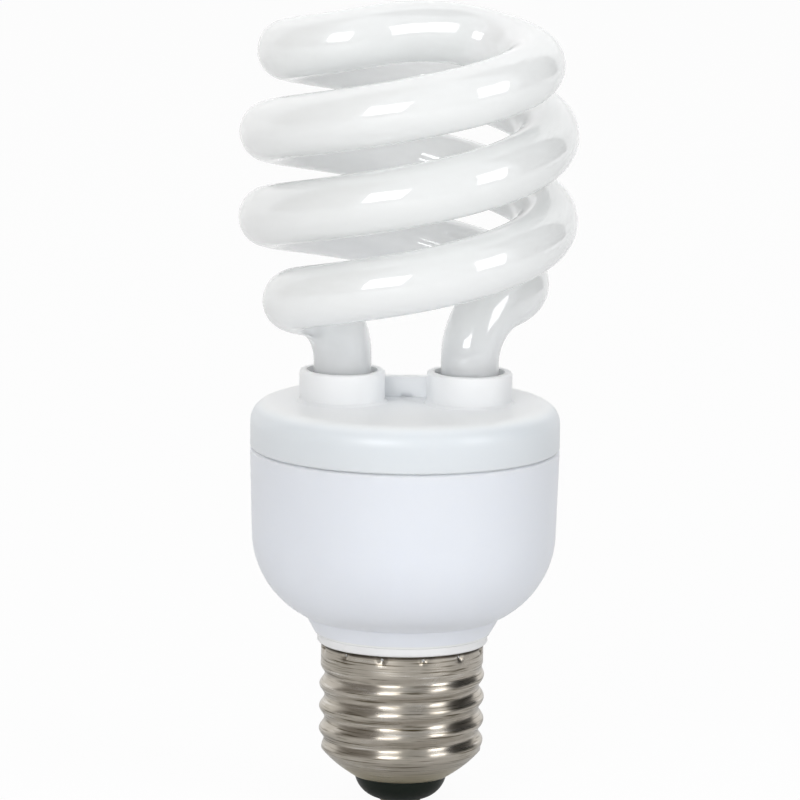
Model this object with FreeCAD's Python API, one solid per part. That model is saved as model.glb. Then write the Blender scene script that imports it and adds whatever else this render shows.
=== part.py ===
import FreeCAD, Part
import math
import os

# Spiral energy saving lamp on an E27 screw cap, in millimetres.
# +Z runs up the lamp's axis from the cap to the glass. The origin is the centre of the contact's
# lower face, and the two glass legs stand on the X axis. The lamp is seen from the -Y side.

V = FreeCAD.Vector
UP = V(0, 0, 1)
ORIGIN = V(0, 0, 0)

# Glass tube: two legs, a double helix and an S-shaped bridge across the top
tube_radius = 4.85
leg_offset = 10.1
leg_length = 11.1              # straight part, mostly inside the collar
leg_reach = 1.8                # how far it stands out of the collar
helix_radius = 22.0
helix_pitch = 27.2
helix_rise = 8.8               # from the leg's top to the helix line over the +X side
helix_start_deg = 46.0         # where the bend from the leg has become the helix
helix_turn_deg = 457.0         # how far the regular helix runs
helix_arcs = 4
bridge_slack = 1.2             # what the helix's radius has over the width of the turn into the bridge
bridge_rise_share = 0.70       # part of the bridge that still climbs at the helix's slope
bridge_arcs = 2
seal_length = 3.5              # cone from the leg to the pinch seal
pinch_width = 8.4
pinch_thickness = 2.6
pinch_length = 4.0
pinch_overlap = 1.2            # how far the pinch runs up into the cone
pinch_fillet = 0.8
seal_shoulder = 0.6            # how far the cone's foot stands past the pinch's faces

# E27 screw cap, rolled from sheet
thread_crest_radius = 13.15
thread_depth = 0.85
thread_pitch = 3.629
thread_length = 14.2
shell_wall = 0.3
shell_band_step = 0.2          # how far the plain band lies inside the crests
shell_band_height = 3.3
shell_eye_radius = 7.7
shell_cone_height = 4.2
shell_bottom_z = 4.4

# Insulator and centre contact
insulator_height = 7.6         # from the shell's eye to the top of the hub
insulator_bulge = 0.5          # how far the cone's face swells
insulator_hub_wall = 1.8
flange_rise = 2.6              # where the flange inside the shell ends
flange_taper = 1.5
flange_top_drop = 1.2
contact_radius = 3.4
contact_thickness = 0.7
contact_rim = 0.3              # chamfer round the contact's face
contact_margin = 0.7           # insulator that shows round the contact
eyelet_radius = 1.8
eyelet_bore_radius = 1.0
eyelet_clearance = 0.2
solder_recess = 0.1
solder_depth = 1.6
seat_gap = 0.05

# Housing cup
wall = 1.5
lip_overhang = 0.65            # past the shell's band
lip_height = 1.3
lip_round = 0.2
neck_step = 1.93               # from the lip out to the crease below the shoulder
neck_height = 3.0
neck_groove = 0.35
shoulder_height = 13.6
housing_radius = 24.2          # at the shoulder
side_height = 13.4             # from the shoulder up to the seam
mould_draft = 0.4              # how much wider the side is at the seam
seam_chamfer = 0.35
spigot_clearance = 0.2
spigot_length = 9.0
spigot_wall = 1.4
spigot_step = 0.5
rib_count = 6
rib_thickness = 1.4
rib_depth = 2.5
rib_length = 11.5
rib_first_deg = 30.0

# Cover with its two collars
cover_height = 7.4             # from the seam to the flat
cover_rim_round = 3.2          # between the side and the flat
skirt_wall = 1.2
snap_height = 0.3
snap_drop = 3.4                # below the seam
cement_gap = 0.75
collar_wall = 1.2
collar_height = 5.0
collar_rim_round = 0.4
collar_root_bevel = 0.4
web_thickness = 1.6
web_height = 3.3
web_setback = 4.8              # behind the legs' plane
web_notch_width = 1.8          # blind notch at the foot of the web's front face
web_notch_height = 0.5
web_notch_depth = 0.9
cement_drop = 2.4              # below the collar's rim
cement_length = 6.6

# Radii and heights that follow from these
thread_root_radius = thread_crest_radius - thread_depth
shell_band_radius = thread_crest_radius - shell_band_step
thread_bottom_z = shell_bottom_z + shell_cone_height
thread_top_z = thread_bottom_z + thread_length
shell_top_z = thread_top_z + shell_band_height
insulator_foot_radius = contact_radius + contact_margin
insulator_bore_radius = eyelet_radius + eyelet_clearance
lip_radius = shell_band_radius + lip_overhang
lip_top_z = shell_top_z + lip_height
neck_radius = lip_radius + neck_step
neck_z = lip_top_z + neck_height
shoulder_z = neck_z + shoulder_height
shoulder_run = housing_radius - neck_radius
shoulder_radius = (shoulder_run ** 2 + shoulder_height ** 2) / (2 * shoulder_run)
spigot_radius = thread_root_radius - shell_wall - spigot_clearance
seam_radius = housing_radius + mould_draft
seam_z = shoulder_z + side_height
snap_z = seam_z - snap_drop
cover_top_z = seam_z + cover_height
cover_flat_radius = seam_radius - cover_rim_round
collar_bore_radius = tube_radius + cement_gap
collar_radius = collar_bore_radius + collar_wall
collar_top_z = cover_top_z + collar_height
web_top_z = cover_top_z + web_height
cement_bottom_z = collar_top_z - cement_drop - cement_length
leg_top_z = collar_top_z + leg_reach
leg_bottom_z = leg_top_z - leg_length
helix_base_z = leg_top_z + helix_rise
bridge_radius = (helix_radius - bridge_slack) / 2

# Ballast board and what hangs from it. The board's lower face carries the parts
board_drop = 9.4               # from the seam to that face
board_clearance = 0.5
board_thickness = 1.6
stand_off = 0.4                # air between the board and a part that hangs from it
pin_side = 0.5
pin_embed = 0.5                # how far a pin reaches into its part
lead_pitch = 5.0
post_side = 0.9
post_height = 3.6
post_y = 5.2
post_clearance = 0.05
filament_lead_radius = 0.2
cable_core_radius = 0.35
cable_bend_radius = 2.0
cable_drop = 10.0              # straight run below the board
board_z = seam_z - board_drop
board_radius = housing_radius - wall - board_clearance
rib_foot_z = board_z - rib_length
post_x = 0.72 * board_radius

choke_x = -0.387 * board_radius
choke_y = 0.135 * board_radius
choke_width = 16.0
choke_half_length = 7.2
choke_core_depth = 4.8
choke_leg = 4.0
bobbin_size = 11.4
bobbin_wall = 0.8
bobbin_gap = 0.1
winding_inset = 0.6            # from the flange's edge to the outer turns
winding_corner = 2.0
choke_z = board_z - stand_off - bobbin_size / 2
choke_window_length = choke_half_length - choke_leg / 2
bobbin_length = 2 * (choke_window_length - bobbin_gap)
capacitor_x = 0.36 * board_radius
capacitor_y = 0.02 * board_radius
capacitor_radius = 5.0
capacitor_length = 16.0
capacitor_edge = 0.4
groove_depth = 0.5
groove_half_height = 0.7
groove_drop = 1.9              # below the can's bung
drive_x = 0.28 * board_radius
drive_y = 0.505 * board_radius
drive_outer_radius = 4.3
drive_inner_radius = 2.4
drive_height = 3.4
drive_wire = 0.5
drive_sweep_deg = 70
drive_top_z = board_z - stand_off - drive_wire - seat_gap
filter_x = -0.315 * board_radius
filter_y = 0.703 * board_radius
filter_radius = 3.9
filter_hub_radius = 2.1
filter_winding_radius = 3.6
filter_flange = 1.2
filter_height = 8.0

# Places on the board, as shares of its radius
diode_places = [(0.432, -0.414), (0.595, -0.414), (0.432, -0.604), (0.595, -0.604)]
transistor_places = {"transistor_high": (0.73, 0.225), "transistor_low": (0.73, -0.198)}
film_places = {
    "resonant_capacitor": (-0.36, -0.423),
    "coupling_capacitor": (0.117, -0.459),
    "filter_capacitor": (-0.198, -0.739),
}
resistor_places = {
    "base_resistor_1": (0.568, 0.541),
    "base_resistor_2": (-0.793, -0.279),
    "start_resistor": (-0.658, -0.477),
}
diac_place = (0.64, 0.405)
fuse_place = (0.126, 0.793)
live_pin = (-0.086, 0.793)
neutral_pin = (0.18, -0.748)

# Bodies of the small parts: radius and length, or width, thickness and height
diode_body = (1.35, 5.2)
diac_body = (0.95, 3.9)
resistor_body = (1.2, 6.3)
fuse_body_radius = 1.5
fuse_body_length = 8.0
sleeve_wall = 0.4
film_bodies = {
    "resonant_capacitor": (9.5, 4.4, 9.0),
    "coupling_capacitor": (7.6, 3.8, 8.0),
    "filter_capacitor": (9.5, 4.4, 8.5),
}
film_round_share = 0.35        # the dip's round edges, as a share of its thickness
axial_pitch = 2.3
axial_drop = 1.2               # from the board to the body of an axial part
axial_foot = 1.6               # from the body down to the bend of its lower lead
transistor_radius = 2.4
transistor_height = 6.5
transistor_drop = 2.4
transistor_flat = 1.4          # from the middle to the flat
transistor_pitch = 1.27


def ring(inner, outer, bottom, top):
    """A plain annulus on the axis."""
    body = Part.makeCylinder(outer, top - bottom, V(0, 0, bottom))
    return body.cut(Part.makeCylinder(inner, top - bottom, V(0, 0, bottom)))


def box(centre_x, centre_y, bottom, size_x, size_y, size_z):
    """A block centred on x and y, standing on its bottom height."""
    corner = V(centre_x - size_x / 2, centre_y - size_y / 2, bottom)
    return Part.makeBox(size_x, size_y, size_z, corner)


def rod(centre_x, centre_y, bottom, radius, height):
    """An upright cylinder."""
    return Part.makeCylinder(radius, height, V(centre_x, centre_y, bottom))


def line_edges(points):
    """Straight edges through (radius, height) points of a lathe section."""
    places = [V(r, 0, z) for r, z in points]
    return [Part.makeLine(a, b) for a, b in zip(places, places[1:])]


def arc_edge(start, middle, end):
    """An arc through three (radius, height) points of a lathe section."""
    a, b, c = [V(r, 0, z) for r, z in (start, middle, end)]
    return Part.Arc(a, b, c).toShape()


def lathe(edges):
    """The solid that a closed section makes when it is turned round the axis."""
    return Part.Face(Part.Wire(edges)).revolve(ORIGIN, UP, 360)


def arc_between(start, aim, end):
    """Centre, axis and angle of the arc that leaves start along aim and passes through end."""
    chord = end - start
    axis = aim.cross(chord).normalize()
    inward = axis.cross(aim)
    radius = chord.dot(chord) / (2 * chord.dot(inward))
    return start + inward * radius, axis, 2 * math.degrees(aim.getAngle(chord))


def biarc_joint(start, start_aim, end, end_aim):
    """Where two tangent arcs meet that join two points with given directions."""
    chord = end - start
    aims = start_aim + end_aim
    spread = 2 * (1 - start_aim.dot(end_aim))
    along = chord.dot(aims)
    reach = (math.sqrt(along ** 2 + spread * chord.dot(chord)) - along) / spread
    return (start + end + (start_aim - end_aim) * reach) * 0.5


def swept_tube(stations, radius):
    """A round bar along tangent arcs through stations of (place, direction)."""
    place, aim = stations[0]
    mouth = Part.Edge(Part.Circle(place, aim, radius))
    faces = [Part.Face(Part.Wire(mouth))]
    for (start, start_aim), (end, end_aim) in zip(stations, stations[1:]):
        if start_aim.getAngle(end_aim) < 1e-6:
            faces.append(mouth.extrude(end - start))
            mouth = mouth.translated(end - start)
            continue
        axis, angle = arc_between(start, start_aim, end)[1:]
        arrival = FreeCAD.Rotation(axis, angle).multVec(start_aim)
        stops = [end]
        if arrival.getAngle(end_aim) > 1e-6:
            stops.insert(0, biarc_joint(start, start_aim, end, end_aim))
        here = start
        aim = start_aim
        for there in stops:
            centre, axis, angle = arc_between(here, aim, there)
            faces.append(mouth.revolve(centre, axis, angle))
            mouth = mouth.rotated(centre, axis, angle)
            aim = FreeCAD.Rotation(axis, angle).multVec(aim)
            here = there
    faces.append(Part.Face(Part.Wire(mouth)))
    shell = Part.makeShell(faces)
    shell.sewShape()
    return Part.makeSolid(shell)


def wire(points, radius, bend_radius):
    """A round wire along straight runs joined by tangent arcs."""
    first = (points[1] - points[0]).normalize()
    stations = [(points[0], first)]
    for before, corner, after in zip(points, points[1:], points[2:]):
        arriving = (corner - before).normalize()
        leaving = (after - corner).normalize()
        reach = bend_radius * math.tan(arriving.getAngle(leaving) / 2)
        stations.append((corner - arriving * reach, arriving))
        stations.append((corner + leaving * reach, leaving))
    last = (points[-1] - points[-2]).normalize()
    stations.append((points[-1], last))
    return swept_tube(stations, radius)


# The glass tube

helix_slope = helix_pitch / (2 * math.pi * helix_radius)


def helix_station(turn):
    """Place and direction on the right-hand strand at an angle in radians from +X."""
    out = V(math.cos(turn), math.sin(turn), 0)
    along = V(-math.sin(turn), math.cos(turn), helix_slope).normalize()
    return out * helix_radius + UP * (helix_base_z + helix_pitch * turn / (2 * math.pi)), along


def bridge_stations():
    """The tight turn off the helix and the straight run to the axis, easing to a level top."""
    end_turn = math.radians(helix_start_deg + helix_turn_deg)
    start_z = helix_station(end_turn)[0].z
    hub = helix_radius - bridge_radius
    sweep = math.acos(-bridge_radius / hub)
    turn_length = bridge_radius * sweep
    run_length = math.sqrt(hub ** 2 - bridge_radius ** 2)
    total = turn_length + run_length
    centre = V(math.cos(end_turn), math.sin(end_turn), 0) * hub
    stations = []
    for i in range(1, bridge_arcs + 2):
        angle = end_turn + sweep * min(i, bridge_arcs) / bridge_arcs
        out = V(math.cos(angle), math.sin(angle), 0)
        flat = centre + out * bridge_radius
        share = turn_length * i / bridge_arcs / total
        if i > bridge_arcs:
            flat = ORIGIN
            share = 1.0
        past = max(0.0, share - bridge_rise_share)
        level = 1 - bridge_rise_share
        climb = start_z + helix_slope * total * (share - past ** 2 / (2 * level))
        slope = helix_slope * (1 - past / level)
        stations.append((flat + UP * climb, (UP.cross(out) + UP * slope).normalize()))
    return stations


def tube_stations():
    """The whole centreline, from the right leg over the bridge to the left leg."""
    stations = [(V(leg_offset, 0, leg_bottom_z), UP), (V(leg_offset, 0, leg_top_z), UP)]
    for i in range(helix_arcs + 1):
        stations.append(helix_station(math.radians(helix_start_deg + helix_turn_deg * i / helix_arcs)))
    stations += bridge_stations()
    mirrored = []
    for place, aim in stations[:-1]:
        mirrored.append((V(-place.x, -place.y, place.z), V(aim.x, aim.y, -aim.z)))
    return stations + mirrored[::-1]


def leg_end(side):
    """The closed end of a leg: a cone that runs into the flat pinch seal."""
    x = side * leg_offset
    cone_bottom = leg_bottom_z - seal_length
    cone_foot = pinch_thickness / 2 + seal_shoulder
    cone = Part.makeCone(cone_foot, tube_radius, seal_length, V(x, 0, cone_bottom))
    height = pinch_length + pinch_overlap
    pinch = box(x, 0, cone_bottom - pinch_length, pinch_thickness, pinch_width, height)
    across = [e for e in pinch.Edges if e.BoundBox.XLength > pinch_thickness / 2]
    return cone.fuse(pinch.makeFillet(pinch_fillet, across))


def spiral_tube():
    """The sealed glass tube with its two pinched ends."""
    tube = swept_tube(tube_stations(), tube_radius)
    return tube.fuse([leg_end(1), leg_end(-1)]).removeSplitter()


def tube_cement(side):
    """Cement between a glass leg and its collar."""
    x = side * leg_offset
    outer = rod(x, 0, cement_bottom_z, collar_bore_radius, cement_length)
    return outer.cut(rod(x, 0, cement_bottom_z, tube_radius, cement_length))


# The cap

rows_per_pitch = 6
thread_fade = 8                # the thread rises and dies over a share of one in this many


def thread_wave(z, turn):
    """From -1 at the root to 1 at the crest of the rolled thread."""
    return math.cos(2 * math.pi * (z - thread_bottom_z) / thread_pitch - turn)


def shell_outline():
    """Rows of (radius, height, thread height) up the outside of the sheet."""
    mean = (thread_crest_radius + thread_root_radius) / 2
    height = (thread_crest_radius - thread_root_radius) / 2
    rows = []
    cone_rows = 4
    for i in range(cone_rows):
        share = i / cone_rows
        radius = shell_eye_radius + (mean - shell_eye_radius) * share
        rows.append((radius, shell_bottom_z + (thread_bottom_z - shell_bottom_z) * share, 0))
    thread_rows = round(thread_length / thread_pitch * rows_per_pitch)
    for i in range(thread_rows + 1):
        share = i / thread_rows
        fade = min(1, share * thread_fade, (1 - share) * thread_fade)
        radius = mean + (shell_band_radius - mean) * max(0, 1 - (1 - share) * thread_fade)
        rows.append((radius, thread_bottom_z + thread_length * share, height * fade))
    band_rows = 3
    for i in range(1, band_rows + 1):
        rows.append((shell_band_radius, thread_top_z + shell_band_height * i / band_rows, 0))
    return rows


def sheet_surface(rows, around):
    """A smooth surface round the axis, through the rows and their helical wave."""
    ring_pull = (2 + math.cos(2 * math.pi / around)) / 3
    row_pull = (2 + math.cos(2 * math.pi / rows_per_pitch)) / 3
    poles = []
    for j in range(around):
        turn = 2 * math.pi * j / around
        line = []
        for radius, z, height in rows:
            reach = (radius + height * thread_wave(z, turn) / row_pull) / ring_pull
            line.append(V(reach * math.cos(turn), reach * math.sin(turn), z))
        poles.append(line)
    spans = len(rows) - 3
    surface = Part.BSplineSurface()
    surface.buildFromPolesMultsKnots(
        poles, [1] * (around + 1), [4] + [1] * (spans - 1) + [4], list(range(around + 1)),
        list(range(spans + 1)), True, False, 3, 3)
    return surface


def screw_shell():
    """The nickel-plated shell, one sheet with the E27 thread rolled through it."""
    around = 20
    outer_rows = shell_outline()
    inner_rows = []
    for i, (radius, z, height) in enumerate(outer_rows):
        after = outer_rows[min(i + 1, len(outer_rows) - 1)]
        before = outer_rows[max(i - 1, 0)]
        slope = V(after[0] - before[0], 0, after[1] - before[1]).normalize()
        inner_rows.append((radius - slope.z * shell_wall, z + slope.x * shell_wall, height))
    outer = sheet_surface(outer_rows, around)
    inner = sheet_surface(inner_rows, around)
    faces = [outer.toShape(), inner.toShape()]
    for row in (0, len(outer_rows) - 3):
        faces.append(Part.makeRuledSurface(outer.vIso(row).toShape(), inner.vIso(row).toShape()))
    shell = Part.makeShell(faces)
    shell.sewShape()
    return Part.makeSolid(shell)


def base_insulator():
    """The black insulator: a cone under the shell's eye and a flange inside it."""
    mean = (thread_crest_radius + thread_root_radius) / 2
    slope = (mean - shell_eye_radius) / shell_cone_height
    top = shell_bottom_z + insulator_height - contact_thickness
    eye = shell_eye_radius - shell_wall - seat_gap
    eye_z = shell_bottom_z - seat_gap
    flange = eye + slope * flange_rise - shell_wall
    foot = contact_thickness
    edges = line_edges([(insulator_bore_radius, foot), (insulator_foot_radius, foot)])
    belly = ((insulator_foot_radius + eye) / 2 + insulator_bulge, (foot + eye_z) / 2 - insulator_bulge)
    edges.append(arc_edge((insulator_foot_radius, foot), belly, (eye, eye_z)))
    edges += line_edges([
        (eye, eye_z), (eye, shell_bottom_z + shell_wall), (flange, shell_bottom_z + flange_rise),
        (flange - flange_taper, top - flange_top_drop), (insulator_bore_radius + insulator_hub_wall, top),
        (insulator_bore_radius, top), (insulator_bore_radius, foot)])
    return lathe(edges)


def centre_contact():
    """The eyelet: a flat head with a rounded rim, riveted through the insulator."""
    top = shell_bottom_z + insulator_height
    edges = line_edges([
        (eyelet_bore_radius, 0), (contact_radius - contact_rim, 0), (contact_radius, contact_rim),
        (contact_radius, contact_thickness), (eyelet_radius, contact_thickness),
        (eyelet_radius, top), (eyelet_bore_radius, top), (eyelet_bore_radius, 0)])
    return lathe(edges)


def contact_solder():
    """Solder that fills the foot of the eyelet round the live lead."""
    return ring(cable_core_radius, eyelet_bore_radius, solder_recess, solder_recess + solder_depth)


# The housing

def housing_outline(inset):
    """Start, middle and end of the shoulder's curve, moved in by a wall."""
    hub_r = housing_radius - shoulder_radius
    radius = shoulder_radius - inset
    kink = math.asin(shoulder_height / shoulder_radius)
    start = (hub_r + radius * math.cos(kink), shoulder_z - radius * math.sin(kink))
    middle = (hub_r + radius * math.cos(kink / 2), shoulder_z - radius * math.sin(kink / 2))
    end = (housing_radius - inset, shoulder_z)
    return start, middle, end


def ballast_housing():
    """The moulded cup with its neck, lip, spigot and the ribs that carry the board."""
    out_start, out_middle, out_end = housing_outline(0)
    in_start, in_middle, in_end = housing_outline(wall)
    spigot_foot = shell_top_z - spigot_length
    bore = spigot_radius - spigot_wall
    fit_radius = shell_band_radius - shell_wall - seat_gap
    fit_foot = thread_top_z + snap_height
    groove = 2 * snap_height
    seam_inner = seam_radius - wall
    edges = line_edges([
        (bore, spigot_foot), (spigot_radius, spigot_foot), (spigot_radius, fit_foot),
        (fit_radius, fit_foot + spigot_step), (fit_radius, shell_top_z),
        (lip_radius - lip_round, shell_top_z), (lip_radius, shell_top_z + lip_round),
        (lip_radius, lip_top_z), (lip_radius + neck_groove, lip_top_z + neck_groove / 2), out_start])
    edges.append(arc_edge(out_start, out_middle, out_end))
    edges += line_edges([
        out_end, (seam_radius, seam_z - seam_chamfer), (seam_radius - seam_chamfer, seam_z),
        (seam_inner, seam_z), (seam_inner, snap_z + groove), (seam_inner + snap_height, snap_z),
        (seam_inner, snap_z - groove), in_end])
    edges.append(arc_edge(in_end, in_middle, in_start))
    edges += line_edges([in_start, (bore, lip_top_z - wall), (bore, spigot_foot)])
    cup = lathe(edges)
    outside = line_edges([(0, shell_top_z), (lip_radius - lip_round, shell_top_z), out_start])
    outside.append(arc_edge(out_start, out_middle, out_end))
    outside += line_edges([out_end, (housing_radius, board_z), (0, board_z), (0, shell_top_z)])
    envelope = lathe(outside)
    rib_reach = wall + rib_depth
    ribs = []
    for i in range(rib_count):
        rib = box(housing_radius - rib_reach / 2, 0, rib_foot_z, rib_reach, rib_thickness, rib_length)
        rib.rotate(ORIGIN, UP, rib_first_deg + 360 * i / rib_count)
        ribs.append(rib.common(envelope))
    return cup.fuse(ribs).removeSplitter()


# The cover

def collar(side):
    """A collar on the lid: straight wall, rounded rim and a bevelled root."""
    under = cover_top_z - wall
    root = collar_radius + collar_root_bevel
    rim = collar_radius - collar_rim_round
    rim_foot = collar_top_z - collar_rim_round
    turn = collar_rim_round * math.sqrt(0.5)
    edges = line_edges([
        (rim, collar_top_z), (0, collar_top_z), (0, under), (root, under), (root, cover_top_z),
        (collar_radius, cover_top_z + collar_root_bevel), (collar_radius, rim_foot)])
    edges.append(arc_edge((collar_radius, rim_foot), (rim + turn, rim_foot + turn), (rim, collar_top_z)))
    body = lathe(edges)
    body.translate(V(side * leg_offset, 0, 0))
    return body


def tube_cover():
    """The moulded lid: rounded rim, skirt down to the board, two collars and the web between them."""
    skirt_radius = housing_radius - wall
    skirt_inner = skirt_radius - skirt_wall
    skirt_foot = board_z + board_thickness
    under = cover_top_z - wall
    rim_z = cover_top_z - cover_rim_round
    inner = seam_radius - wall
    rim = (seam_radius, rim_z)
    edges = line_edges([
        (skirt_inner, skirt_foot), (skirt_radius, skirt_foot), (skirt_radius, snap_z - snap_height),
        (skirt_radius + snap_height, snap_z), (skirt_radius, snap_z + snap_height),
        (skirt_radius, seam_z), (seam_radius - seam_chamfer, seam_z),
        (seam_radius, seam_z + seam_chamfer), rim])
    turn = cover_rim_round * math.sqrt(0.5)
    rim_middle = (cover_flat_radius + turn, rim_z + turn)
    edges.append(arc_edge(rim, rim_middle, (cover_flat_radius, cover_top_z)))
    edges += line_edges([
        (cover_flat_radius, cover_top_z), (0, cover_top_z), (0, under), (cover_flat_radius, under),
        (inner, rim_z - wall / 2), (inner, seam_z + skirt_wall), (skirt_inner, seam_z + skirt_wall),
        (skirt_inner, skirt_foot)])
    lid = lathe(edges)
    bores = []
    for side in (-1, 1):
        bores.append(rod(side * leg_offset, 0, under - wall, collar_bore_radius, collar_top_z))
    web = box(0, web_setback, under, 2 * leg_offset, web_thickness, web_top_z - under)
    front = web_setback - web_thickness / 2
    notch = box(0, front, cover_top_z, web_notch_width, 2 * web_notch_depth, web_notch_height)
    return lid.fuse([collar(-1), collar(1), web]).cut(bores + [notch]).removeSplitter()


# The ballast board and its parts

def spot(share):
    """A place on the board from its shares of the radius."""
    return share[0] * board_radius, share[1] * board_radius


def choke_pins():
    """The four pins of the choke's bobbin, at the corners of its flanges."""
    across = bobbin_size / 2 - 2 * bobbin_wall
    along = bobbin_length / 2 - bobbin_wall / 2
    return [(choke_x + a * across, choke_y + b * along) for a in (-1, 1) for b in (-1, 1)]


def post_places():
    """The four posts, two beside each leg of the glass."""
    return [(a * post_x, b * post_y) for a in (-1, 1) for b in (-1, 1)]


def circuit_board():
    """The round board with a square hole for each post."""
    board = rod(0, 0, board_z, board_radius, board_thickness)
    side = post_side + 2 * post_clearance
    holes = []
    for x, y in post_places():
        holes.append(box(x, y, board_z - board_thickness, side, side, 3 * board_thickness))
    return board.cut(holes)


def pin(x, y, bottom):
    """A part's lead, from inside its body up to the board."""
    return box(x, y, bottom, pin_side, pin_side, board_z - bottom)


def axial_part(place, body_radius, body_length):
    """An upright axial part: its lower lead is bent up beside the body."""
    x, y = spot(place)
    bottom = board_z - axial_drop - body_length
    body = rod(x, y, bottom, body_radius, body_length)
    foot = bottom - axial_foot
    link = box(x, y - axial_pitch / 2, foot, pin_side, axial_pitch, pin_side)
    return body.fuse([pin(x, y, foot), pin(x, y - axial_pitch, foot), link])


def transistor(place):
    """A small moulded transistor with its flat to the middle of the board."""
    x, y = spot(place)
    top = board_z - transistor_drop
    bottom = top - transistor_height
    across = 2 * transistor_radius
    body = rod(x, y, bottom, transistor_radius, transistor_height)
    beyond_flat = x - transistor_flat - transistor_radius
    body = body.cut(box(beyond_flat, y, bottom, across, across, transistor_height))
    legs = [pin(x, y + transistor_pitch * k, top - pin_embed) for k in (-1, 0, 1)]
    return body.fuse(legs)


def film_capacitor(place, size_x, size_y, size_z):
    """A dipped film capacitor: a rounded block on two leads."""
    x, y = spot(place)
    top = board_z - stand_off
    body = box(x, y, top - size_z, size_x, size_y, size_z)
    upright = [e for e in body.Edges if e.BoundBox.ZLength > size_z / 2]
    body = body.makeFillet(size_y * film_round_share, upright)
    legs = [pin(x + k * lead_pitch / 2, y, top - pin_embed) for k in (-1, 1)]
    return body.fuse(legs)


def bulk_capacitor():
    """The electrolytic can: rolled groove near its bung, two leads."""
    top = board_z - stand_off
    bottom = top - capacitor_length
    groove = top - groove_drop
    r = capacitor_radius
    edges = line_edges([
        (0, bottom), (r - capacitor_edge, bottom), (r, bottom + capacitor_edge),
        (r, groove - groove_half_height), (r - groove_depth, groove), (r, groove + groove_half_height),
        (r, top), (0, top), (0, bottom)])
    can = lathe(edges)
    can.translate(V(capacitor_x, capacitor_y, 0))
    legs = [pin(capacitor_x + k * lead_pitch / 2, capacitor_y, top - pin_embed) for k in (-1, 1)]
    return can.fuse(legs)


def choke_core(side):
    """One E-shaped ferrite half; its three legs meet the other half's."""
    half = choke_half_length
    bottom = choke_z - choke_core_depth / 2
    block = box(choke_x, choke_y + side * half / 2, bottom, choke_width, half, choke_core_depth)
    window_width = (choke_width - 2 * choke_leg) / 2
    window_y = choke_y + side * choke_window_length / 2
    windows = []
    for k in (-1, 1):
        x = choke_x + k * (choke_leg + window_width) / 2
        windows.append(box(x, window_y, bottom, window_width, choke_window_length, choke_core_depth))
    return block.cut(windows)


def bobbin_tube(length):
    """The square tube's outside, of a given length."""
    tube_z = choke_core_depth + 2 * bobbin_wall
    return box(choke_x, choke_y, choke_z - tube_z / 2, choke_leg + 2 * bobbin_wall, length, tube_z)


def choke_bobbin():
    """The bobbin on the middle legs: a square tube between two flanges, with four pins."""
    flanges = []
    for side in (-1, 1):
        y = choke_y + side * (bobbin_length - bobbin_wall) / 2
        flanges.append(box(choke_x, y, choke_z - bobbin_size / 2, bobbin_size, bobbin_wall, bobbin_size))
    bore = box(choke_x, choke_y, choke_z - choke_core_depth / 2 - bobbin_gap,
               choke_leg + 2 * bobbin_gap, 2 * bobbin_length, choke_core_depth + 2 * bobbin_gap)
    pins = [pin(x, y, choke_z + bobbin_size / 2 - pin_embed) for x, y in choke_pins()]
    return bobbin_tube(bobbin_length).fuse(flanges).cut(bore).fuse(pins)


def choke_winding():
    """The winding, with rounded corners, between the bobbin's flanges."""
    length = bobbin_length - 2 * bobbin_wall - bobbin_gap
    size = bobbin_size - 2 * winding_inset
    coil = box(choke_x, choke_y, choke_z - size / 2, size, length, size)
    corners = [e for e in coil.Edges if e.BoundBox.YLength > length / 2]
    return coil.makeFillet(winding_corner, corners).cut(bobbin_tube(2 * length))


def drive_ring():
    """The small ferrite ring, on the axis."""
    return ring(drive_inner_radius, drive_outer_radius, drive_top_z - drive_height, drive_top_z)


def drive_core():
    """The ring in its place."""
    return drive_ring().translated(V(drive_x, drive_y, 0))


def drive_winding():
    """Three windings on the ring, each a layer of wire over a part of it."""
    foot = drive_top_z - drive_height - drive_wire
    crown = drive_top_z + drive_wire
    inner = drive_inner_radius - drive_wire
    outer = drive_outer_radius + drive_wire
    section = line_edges([(inner, foot), (outer, foot), (outer, crown), (inner, crown), (inner, foot)])
    face = Part.Face(Part.Wire(section))
    coils = []
    for k in range(3):
        layer = face.revolve(ORIGIN, UP, drive_sweep_deg)
        layer.rotate(ORIGIN, UP, 120 * k)
        coils.append(layer.cut(drive_ring()))
    return Part.makeCompound(coils).translated(V(drive_x, drive_y, 0))


def filter_core():
    """The drum core of the mains filter, with two leads out of its foot."""
    top = board_z - stand_off
    bottom = top - filter_height
    edges = line_edges([
        (0, bottom), (filter_radius, bottom), (filter_radius, bottom + filter_flange),
        (filter_hub_radius, bottom + filter_flange), (filter_hub_radius, top - filter_flange),
        (filter_radius, top - filter_flange), (filter_radius, top), (0, top), (0, bottom)])
    drum = lathe(edges)
    drum.translate(V(filter_x, filter_y, 0))
    return drum.fuse([pin(filter_x + k * lead_pitch / 2, filter_y, top - pin_embed) for k in (-1, 1)])


def filter_winding():
    """The wire on the drum."""
    top = board_z - stand_off
    foot = top - filter_height + filter_flange
    coil = ring(filter_hub_radius, filter_winding_radius, foot, top - filter_flange)
    coil.translate(V(filter_x, filter_y, 0))
    return coil


def fuse_sleeve():
    """The sleeve over the fusible resistor's body."""
    x, y = spot(fuse_place)
    bottom = board_z - axial_drop - fuse_body_length
    outer = rod(x, y, bottom, fuse_body_radius + sleeve_wall, fuse_body_length)
    return outer.cut(rod(x, y, bottom, fuse_body_radius, fuse_body_length))


def wire_post(x, y):
    """A square post pressed into the board."""
    return box(x, y, board_z, post_side, post_side, board_thickness + post_height)


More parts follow.
